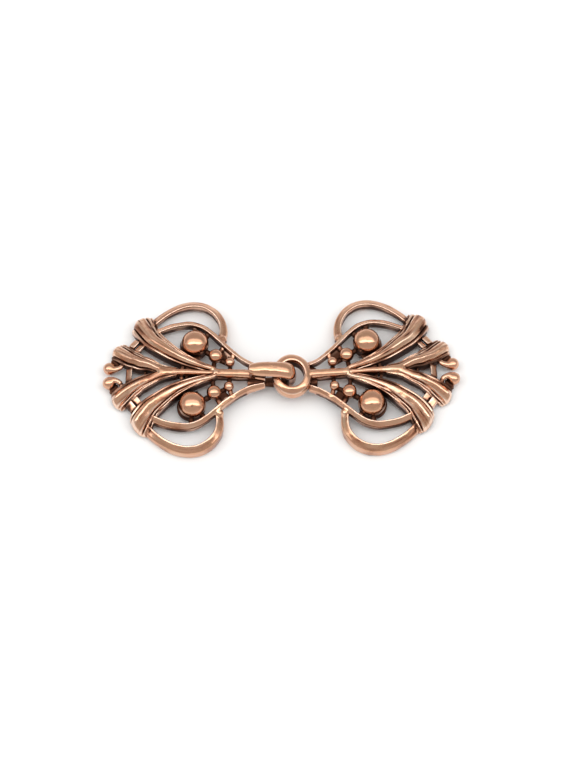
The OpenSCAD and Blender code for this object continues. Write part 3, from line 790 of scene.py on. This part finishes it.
# where the patina was left (+) or worn off (-) more than the shape alone says, some of it painted shade under the
# large bead and round the hook's post, return arm and finger: centre, radii, how much
FAN_PATINA_SHADE_SPOTS = [[(c[0], c[1] * k, c[2]), r, more] for k in (1, -1) for c, r, more in (
    ((4.75, 4.05, 2.4), (0.9, 0.9, 0.5), 0.6),
    ((24.1, 2.35, 1.0), (1.0, 1.1, 0.6), 1.3),
    ((17.45, 10.4, 2.2), (0.26, 0.9, 0.9), 1.2),
    ((16.7, 9.4, 2.0), (0.5, 0.35, 0.7), 0.9),
    ((9.9, 3.5, 2.3), (1.0, 0.8, 0.5), 0.9),
    ((20.9, 4.8, 1.2), (0.6, 0.6, 0.6), 1.0),
    ((20.3, 5.6, 1.9), (0.25, 0.5, 0.6), 1.0),
    ((22.0, 0.0, 1.6), (0.35, 1.4, 0.8), 0.5),
    # the large bead's seat: patina together with painted shade under the bead
    ((10.4, 5.9, 1.75), (3.4, 3.4, 0.55), 1.6),
    ((9.2, 1.0, 2.9), (2.2, 0.7, 0.8), 0.35),
)]
HOOK_PATINA_SHADE_SPOTS = FAN_PATINA_SHADE_SPOTS + [
    [(-0.2, 1.0, 4.05), (1.9, 0.35, 0.35), -3.4],
    [(0.9, 0.0, 4.5), (0.8, 0.9, 0.4), -1.8],
    # the post, the return arm under the finger, and the finger's far side and bend: patina together with painted shade
    [(-6.9, 1.2, 3.0), (1.2, 0.9, 1.5), 0.9],
    [(-3.0, 0.0, 0.8), (1.5, 1.4, 0.7), 2.6],
    [(-4.0, -1.15, 6.0), (3.4, 0.45, 1.0), 0.55],
    [(-6.9, 0.2, 5.0), (0.45, 1.0, 0.8), 0.5],
    [(21.3, 6.2, 1.7), (0.6, 1.2, 0.8), 1.5],
    [(20.0, 5.5, 1.8), (0.5, 0.5, 0.5), 0.9],
]
EYE_PATINA_SHADE_SPOTS = FAN_PATINA_SHADE_SPOTS + [
    [(0.2, 1.5, 2.9), (0.9, 0.6, 0.8), 0.6],
    [(0.2, -1.5, 2.9), (0.9, 0.6, 0.8), 0.6],
    [(16.5, 0.0, 3.0), (9.0, 16.0, 6.0), 0.15],
]

hook_piece = make_half(
    "hook_half_cast", "hook_body", "hook_half", build_hook_half, [-9.2, -15.4, -0.5], [26.9, 15.4, 7.5], 180 + HOOK_TURN, HOOK_REACH, 11, HOOK_PATINA_SHADE_SPOTS
)
eye_piece = make_half(
    "eye_half_cast", "eye_body", "eye_half", build_eye_half, [-7.0, -15.4, -0.5], [26.9, 15.4, 7.2], EYE_TURN, EYE_REACH, 12, EYE_PATINA_SHADE_SPOTS
)


# ---------------------------------------------------------------- material
def new_material(name):
    mat = bpy.data.materials.new(name)
    mat.use_nodes = True
    nt = mat.node_tree
    nt.nodes.clear()
    return mat, nt


def link(nt, a, b):
    nt.links.new(a, b)


def maths(nt, op, a, b=None, c=None, clamp=False):
    n = nt.nodes.new("ShaderNodeMath")
    n.operation = op
    n.use_clamp = clamp
    for i, v in enumerate((a, b, c)):
        if v is None:
            continue
        if isinstance(v, (int, float)):
            n.inputs[i].default_value = v
        else:
            link(nt, v, n.inputs[i])
    return n.outputs[0]


def map_range(nt, v, a, b, c=0.0, d=1.0, smooth=True):
    n = nt.nodes.new("ShaderNodeMapRange")
    n.interpolation_type = "SMOOTHSTEP" if smooth else "LINEAR"
    link(nt, v, n.inputs["Value"])
    for k, x in (("From Min", a), ("From Max", b), ("To Min", c), ("To Max", d)):
        n.inputs[k].default_value = x
    return n.outputs[0]


def noise(nt, coord, scale, detail=3.0, rough=0.55):
    n = nt.nodes.new("ShaderNodeTexNoise")
    n.inputs["Scale"].default_value = scale
    n.inputs["Detail"].default_value = detail
    n.inputs["Roughness"].default_value = rough
    link(nt, coord, n.inputs["Vector"])
    return n.outputs["Fac"]


def mix(nt, fac, a, b):
    n = nt.nodes.new("ShaderNodeMix")
    n.data_type = "RGBA"
    link(nt, fac, n.inputs["Factor"])
    for sock, v in ((n.inputs["A"], a), (n.inputs["B"], b)):
        if isinstance(v, tuple):
            sock.default_value = (*v, 1)
        else:
            link(nt, v, sock)
    return n.outputs["Result"]


def attribute(nt, name):
    n = nt.nodes.new("ShaderNodeAttribute")
    n.attribute_name = name
    return n.outputs["Fac"]


def antique_copper():
    mat, nt = new_material("antique_copper")
    out = nt.nodes.new("ShaderNodeOutputMaterial")
    tc = nt.nodes.new("ShaderNodeTexCoord")
    pos = tc.outputs["Object"]
    big = noise(nt, pos, 260, 3)
    small = noise(nt, pos, 1500, 4, 0.6)
    grit = noise(nt, pos, 5200, 2, 0.6)
    fine, wide, depth_and_shade, down, streak = (attribute(nt, a) for a in ("fine", "wide", "depth_and_shade", "down", "streak"))
    # patina stays in the grooves and wherever the buffing wheel can't reach; the depth attribute also carries painted
    # shade in places
    hollow = map_range(nt, fine, 0.012, -0.045)
    wide_hollow = map_range(nt, wide, 0.05, -0.15)
    sunk_and_shaded = map_range(nt, depth_and_shade, 0.10, 1.15)
    mottle = maths(nt, "MULTIPLY_ADD", maths(nt, "SUBTRACT", big, 0.5), 0.60, maths(nt, "MULTIPLY", maths(nt, "SUBTRACT", small, 0.5), 0.30))
    amount = maths(nt, "MULTIPLY_ADD", sunk_and_shaded, 0.85, maths(nt, "MULTIPLY", hollow, 0.62))
    amount = maths(nt, "MULTIPLY_ADD", wide_hollow, 0.20, amount)
    amount = maths(nt, "MULTIPLY_ADD", down, 0.15, amount)
    amount = maths(nt, "ADD", amount, mottle)
    amount = maths(nt, "MULTIPLY_ADD", streak, 0.42, amount)
    black = map_range(nt, amount, 0.40, 0.88)
    brown = map_range(nt, amount, 0.02, 0.55)
    bright, mid, dark = (0.68, 0.350, 0.214), (0.40, 0.160, 0.082), (0.075, 0.030, 0.018)
    # the copper's colour drifts between rose and gold
    gold = map_range(nt, noise(nt, pos, 420, 2), 0.42, 0.66, 0.0, 0.30)
    gold = maths(nt, "MULTIPLY_ADD", maths(nt, "ABSOLUTE", streak), 0.42, gold, clamp=True)
    col = mix(nt, brown, mix(nt, gold, bright, (0.61, 0.365, 0.19)), mid)
    col = mix(nt, black, col, dark)
    # worn crests are a touch paler, which also paints in the pale highlight that falls along the crests
    pale_crest_and_highlight = map_range(nt, fine, 0.010, 0.050)
    pale_crest_and_highlight = maths(nt, "MULTIPLY", pale_crest_and_highlight, maths(nt, "MULTIPLY_ADD", brown, -0.9, 0.95))
    pale_crest_and_highlight = maths(nt, "MULTIPLY_ADD", maths(nt, "MAXIMUM", maths(nt, "MULTIPLY", streak, -1.0), 0.0), 0.30, pale_crest_and_highlight, clamp=True)
    col = mix(nt, pale_crest_and_highlight, col, (0.92, 0.65, 0.50))
    bsdf = nt.nodes.new("ShaderNodeBsdfPrincipled")
    link(nt, col, bsdf.inputs["Base Color"])
    bsdf.inputs["Metallic"].default_value = 1.0
    rough = maths(nt, "ADD", map_range(nt, amount, 0.0, 1.0, 0.18, 0.50), maths(nt, "MULTIPLY", maths(nt, "SUBTRACT", small, 0.5), 0.14))
    link(nt, rough, bsdf.inputs["Roughness"])
    # a thin lacquer keeps the copper bright
    link(nt, map_range(nt, black, 0.0, 1.0, 0.45, 0.0), bsdf.inputs["Coat Weight"])
    bsdf.inputs["Coat Roughness"].default_value = 0.14
    bsdf.inputs["Coat IOR"].default_value = 1.8
    bump = nt.nodes.new("ShaderNodeBump")
    bump.inputs["Distance"].default_value = 0.00004
    bump.inputs["Strength"].default_value = 0.35
    link(nt, maths(nt, "ADD", maths(nt, "MULTIPLY", small, 1.0), maths(nt, "MULTIPLY", grit, 0.25)), bump.inputs["Height"])
    link(nt, bump.outputs[0], bsdf.inputs["Normal"])
    link(nt, bsdf.outputs[0], out.inputs["Surface"])
    return mat


copper = antique_copper()
for o in (hook_piece, eye_piece):
    o.data.materials.clear()
    o.data.materials.append(copper)

# ---------------------------------------------------------------- floor, light, camera
mesh = bpy.data.meshes.new("floor")
mesh.from_pydata([(-3, -3, 0), (3, -3, 0), (3, 3, 0), (-3, 3, 0)], [], [(0, 1, 2, 3)])
floor = bpy.data.objects.new("floor", mesh)
bpy.context.scene.collection.objects.link(floor)
fmat, nt = new_material("floor_white")
out = nt.nodes.new("ShaderNodeOutputMaterial")
b = nt.nodes.new("ShaderNodeBsdfPrincipled")
b.inputs["Base Color"].default_value = (0.90, 0.905, 0.91, 1)
b.inputs["Roughness"].default_value = 0.55
link(nt, b.outputs[0], out.inputs["Surface"])
floor.data.materials.append(fmat)

world = bpy.data.worlds.new("studio")
bpy.context.scene.world = world
world.use_nodes = True
wn = world.node_tree
bg = wn.nodes["Background"]


def light_tent(nt, bg):
    """A white tent: a long soft lamp overhead, running left to right, a duller sweep behind and the room in front."""
    tc = nt.nodes.new("ShaderNodeTexCoord")
    sep = nt.nodes.new("ShaderNodeSeparateXYZ")
    link(nt, tc.outputs["Generated"], sep.inputs[0])
    x, y, z = sep.outputs
    pitch = maths(nt, "ARCTAN2", y, z)  # 0 straight up, negative towards the camera
    lamp = None
    for strength, start, end, soft in LAMPS:
        on = map_range(nt, pitch, math.radians(start - soft), math.radians(start + soft), 0.0, strength)
        off = map_range(nt, pitch, math.radians(end - soft), math.radians(end + soft), 1.0, 0.0)
        stripe = maths(nt, "MULTIPLY", on, off)
        lamp = stripe if lamp is None else maths(nt, "MAXIMUM", lamp, stripe)
    far = map_range(nt, y, -0.2, 0.75)
    low = map_range(nt, z, 0.50, 0.15)
    base = maths(nt, "ADD", maths(nt, "MULTIPLY_ADD", far, BACK - FRONT, FRONT), maths(nt, "MULTIPLY", low, LOW))
    sides = map_range(nt, maths(nt, "ABSOLUTE", x), 0.55, 0.95)
    base = maths(nt, "ADD", base, maths(nt, "MULTIPLY", sides, SIDES))
    lamp = maths(nt, "MULTIPLY", lamp, map_range(nt, maths(nt, "ABSOLUTE", x), 0.72, 0.96, 1.0, 0.15))
    total = maths(nt, "ADD", lamp, base)
    # the photographer's camera, dark against the tent
    dot = maths(nt, "MULTIPLY_ADD", z, math.sin(ELEV), maths(nt, "MULTIPLY", y, -math.cos(ELEV)))
    total = maths(nt, "MULTIPLY", total, map_range(nt, dot, math.cos(math.radians(9)), math.cos(math.radians(5)), 1.0, 0.3))
    link(nt, total, bg.inputs["Strength"])
    bg.inputs["Color"].default_value = (1.0, 0.99, 0.975, 1)


ELEV = math.radians(65)  # of the camera above the table
# stripes across the tent: [strength, first and last pitch in degrees, softness]
LAMPS = [[3.4, -21, -6, 4], [1.10, -8, 24, 6]]
FRONT, BACK, LOW, SIDES = 0.60, 0.55, 0.14, -0.16
light_tent(wn, bg)


def area(name, loc, target, size, size_y, power, colour=(1, 1, 1)):
    light = bpy.data.lights.new(name, "AREA")
    light.shape = "RECTANGLE"
    light.size, light.size_y, light.energy, light.color = size, size_y, power, colour
    o = bpy.data.objects.new(name, light)
    bpy.context.scene.collection.objects.link(o)
    o.location = loc
    o.rotation_euler = (Vector(target) - Vector(loc)).to_track_quat("-Z", "Y").to_euler()
    return o



# The photo is 576 by 768, the clasp's scale in it is 5.77 pixels a millimetre, seen from 65 degrees above the table.
DIST = 0.62
PX_PER_MM = 5.77
cam_data = bpy.data.cameras.new("camera")
cam = bpy.data.objects.new("camera", cam_data)
bpy.context.scene.collection.objects.link(cam)
bpy.context.scene.camera = cam
cam_data.sensor_fit = "AUTO"
cam_data.sensor_width = 36
height_mm = 768 / PX_PER_MM  # of the view at the clasp
cam_data.lens = 36 * DIST * 1000 / height_mm
# the point that shows at the picture's middle (288, 384), at 3 mm above the table
target = Vector(((288 - 281.46) / 5.77, 0, 3.0))
target.y = AXIS[1] + (384.5 - 384) / (5.77 * math.sin(ELEV)) - 3.0 * math.cos(ELEV) / math.sin(ELEV)
target *= 0.001
back = Vector((0, -math.cos(ELEV), math.sin(ELEV)))
cam.location = target + back * DIST
cam.rotation_mode = "QUATERNION"
cam.rotation_quaternion = (-back).to_track_quat("-Z", "Y")
cam_data.clip_start, cam_data.clip_end = 0.01, 20

scene = bpy.context.scene
scene.view_settings.view_transform = "Standard"
scene.view_settings.look = "None"
scene.view_settings.exposure = 0.0
